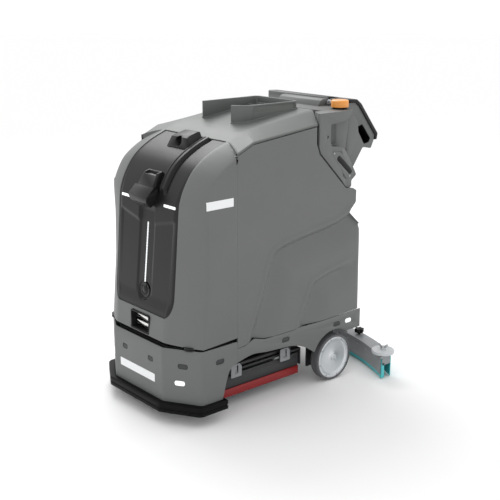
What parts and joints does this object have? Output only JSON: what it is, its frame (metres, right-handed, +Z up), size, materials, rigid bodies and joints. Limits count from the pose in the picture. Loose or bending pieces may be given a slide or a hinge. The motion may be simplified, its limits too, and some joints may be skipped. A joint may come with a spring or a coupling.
{
  "type": "floor scrubber machine",
  "caption": "Walk-behind floor scrubber with a sensor front, lifting brush deck, curved rear squeegee, two drive wheels, hinged tank cover and a rear control console.",
  "frame": {"origin": "on the floor under the middle of the outline, between the bumper front and the squeegee back", "axes": "-Y is the front of the machine, +X its left-to-right width, +Z up from the floor"},
  "size_m": [0.926, 1.14, 1.182],
  "materials": {
    "grey_cover": "moulded polyethylene, fine satin texture",
    "light_cover": "moulded polyethylene, fine satin texture",
    "black_panel": "satin black moulded ABS",
    "dark_plastic": "black moulded plastic",
    "smoked_window": "smoked polycarbonate window",
    "light_diffuser": "white light diffuser",
    "bumper_rubber": "black rubber",
    "frame_steel": "powder coated steel",
    "bright_steel": "turned bright steel",
    "contact_metal": "plated charging contact",
    "hub_metal": "polished cast aluminium hub cover",
    "tyre_rubber": "dark grey tyre tread",
    "caster_rubber": "dark caster tyre",
    "skirt_plastic": "dark grey skirt plate",
    "red_blade": "red polyurethane strip",
    "teal_blade": "teal polyurethane blade",
    "squeegee_metal": "grey coated die-cast body",
    "roller_plastic": "light grey nylon roller",
    "estop_amber": "amber moulded button",
    "screen_glass": "touch glass",
    "bristle": "nylon bristles on a plastic disc",
    "motor_case": "cast motor case",
    "inner_plastic": "plain moulded plastic"
  },
  "bodies": {
    "machine": {"chassis_frame": "frame_steel", "base_front_cover": "grey_cover", "base_side_panel_left": "grey_cover", "base_side_panel_right": "grey_cover", "front_bumper": "bumper_rubber", "front_cover": "grey_cover", "sensor_panel": "black_panel", "sensor_hood": "black_panel", "top_camera": "smoked_window", "depth_camera": "black_panel", "depth_camera_window": "smoked_window", "marker_lights": "light_diffuser", "light_strip": "light_diffuser", "lower_camera": "smoked_window", "charging_socket": "dark_plastic", "charge_contacts": "contact_metal", "sonar_sensors": "skirt_plastic", "corner_lights": "light_diffuser", "corner_lidars": "smoked_window", "solution_tank": "grey_cover", "recovery_tank": "inner_plastic", "cover_hinge_pin": "bright_steel", "console_housing": "grey_cover", "console_bezel": "black_panel", "touch_screen": "screen_glass", "estop_base": "dark_plastic", "side_camera_plates": "grey_cover", "side_camera_windows": "smoked_window", "axle_brackets": "frame_steel", "lift_actuator": "motor_case", "suction_hose": "bumper_rubber", "battery_pack": "inner_plastic", "vacuum_motor": "motor_case", "control_box": "inner_plastic"},
    "top_cover_body": {"top_cover": "light_cover"},
    "filler_cap": {"fill_cap": "dark_plastic"},
    "stop_button": {"estop_button": "estop_amber"},
    "key": {"key_switch": "bright_steel"},
    "left_drive_wheel": {"drive_tyre_left": "tyre_rubber", "drive_hub_left": "hub_metal"},
    "right_drive_wheel": {"drive_tyre_right": "tyre_rubber", "drive_hub_right": "hub_metal"},
    "left_caster_fork": {"caster_fork_left": "bright_steel"},
    "right_caster_fork": {"caster_fork_right": "bright_steel"},
    "left_caster_wheel": {"caster_wheel_left": "caster_rubber"},
    "right_caster_wheel": {"caster_wheel_right": "caster_rubber"},
    "deck": {"brush_deck": "frame_steel", "deck_hook_plates": "squeegee_metal", "splash_skirts": "skirt_plastic", "skirt_blades": "red_blade", "brush_motor": "motor_case", "lift_rod": "bright_steel"},
    "brush": {"disc_brush": "bristle"},
    "squeegee": {"squeegee_arm": "frame_steel", "squeegee_body": "squeegee_metal", "squeegee_blades": "teal_blade"},
    "left_roller": {"squeegee_roller_left": "roller_plastic"},
    "right_roller": {"squeegee_roller_right": "roller_plastic"},
    "left_knob": {"clamp_knob_left": "dark_plastic"},
    "right_knob": {"clamp_knob_right": "dark_plastic"}
  },
  "joints": [
    {"name": "cover_hinge", "type": "hinge", "parent": "machine", "child": "top_cover_body", "pos_m": [0, 0.206, 1.136], "axis": [-1, 0, 0], "range_deg": [0, 75]},
    {"name": "cap_turn", "type": "hinge", "parent": "top_cover_body", "child": "filler_cap", "pos_m": [0, 0.06, 1.13], "axis": [0, 0, 1], "range_deg": [0, 90]},
    {"name": "stop_press", "type": "slide", "parent": "machine", "child": "stop_button", "axis": [0, 0, 1], "range_m": [-0.006, 0], "stiffness_N_per_m": 1200, "springref_m": 0.003},
    {"name": "key_turn", "type": "hinge", "parent": "machine", "child": "key", "pos_m": [0.142, 0.37, 1.16], "axis": [0, 1, 0], "range_deg": [0, 90]},
    {"name": "left_drive_spin", "type": "hinge", "parent": "machine", "child": "left_drive_wheel", "pos_m": [-0.285, 0.248, 0.1], "axis": [1, 0, 0], "continuous": true},
    {"name": "right_drive_spin", "type": "hinge", "parent": "machine", "child": "right_drive_wheel", "pos_m": [0.285, 0.248, 0.1], "axis": [1, 0, 0], "continuous": true},
    {"name": "left_caster_swivel", "type": "hinge", "parent": "machine", "child": "left_caster_fork", "pos_m": [-0.15, -0.43, 0.11], "axis": [0, 0, 1], "continuous": true},
    {"name": "right_caster_swivel", "type": "hinge", "parent": "machine", "child": "right_caster_fork", "pos_m": [0.15, -0.43, 0.11], "axis": [0, 0, 1], "continuous": true},
    {"name": "left_caster_roll", "type": "hinge", "parent": "left_caster_fork", "child": "left_caster_wheel", "pos_m": [-0.15, -0.4, 0.0375], "axis": [1, 0, 0], "continuous": true},
    {"name": "right_caster_roll", "type": "hinge", "parent": "right_caster_fork", "child": "right_caster_wheel", "pos_m": [0.15, -0.4, 0.0375], "axis": [1, 0, 0], "continuous": true},
    {"name": "deck_lift", "type": "slide", "parent": "machine", "child": "deck", "axis": [0, 0, 1], "range_m": [-0.043, 0]},
    {"name": "brush_spin", "type": "hinge", "parent": "deck", "child": "brush", "pos_m": [0, -0.115, 0.1], "axis": [0, 0, 1], "continuous": true},
    {"name": "squeegee_lift", "type": "hinge", "parent": "machine", "child": "squeegee", "pos_m": [0, 0.33, 0.15], "axis": [1, 0, 0], "range_deg": [0, 14], "deforming": ["suction_hose"]},
    {"name": "left_roller_spin", "type": "hinge", "parent": "squeegee", "child": "left_roller", "pos_m": [-0.414, 0.437, 0.11], "axis": [0, 0, 1], "continuous": true},
    {"name": "right_roller_spin", "type": "hinge", "parent": "squeegee", "child": "right_roller", "pos_m": [0.414, 0.437, 0.11], "axis": [0, 0, 1], "continuous": true},
    {"name": "left_knob_turn", "type": "hinge", "parent": "squeegee", "child": "left_knob", "pos_m": [-0.19, 0.528, 0.12], "axis": [0, 0, 1], "continuous": true},
    {"name": "right_knob_turn", "type": "hinge", "parent": "squeegee", "child": "right_knob", "pos_m": [0.19, 0.528, 0.12], "axis": [0, 0, 1], "continuous": true}
  ]
}
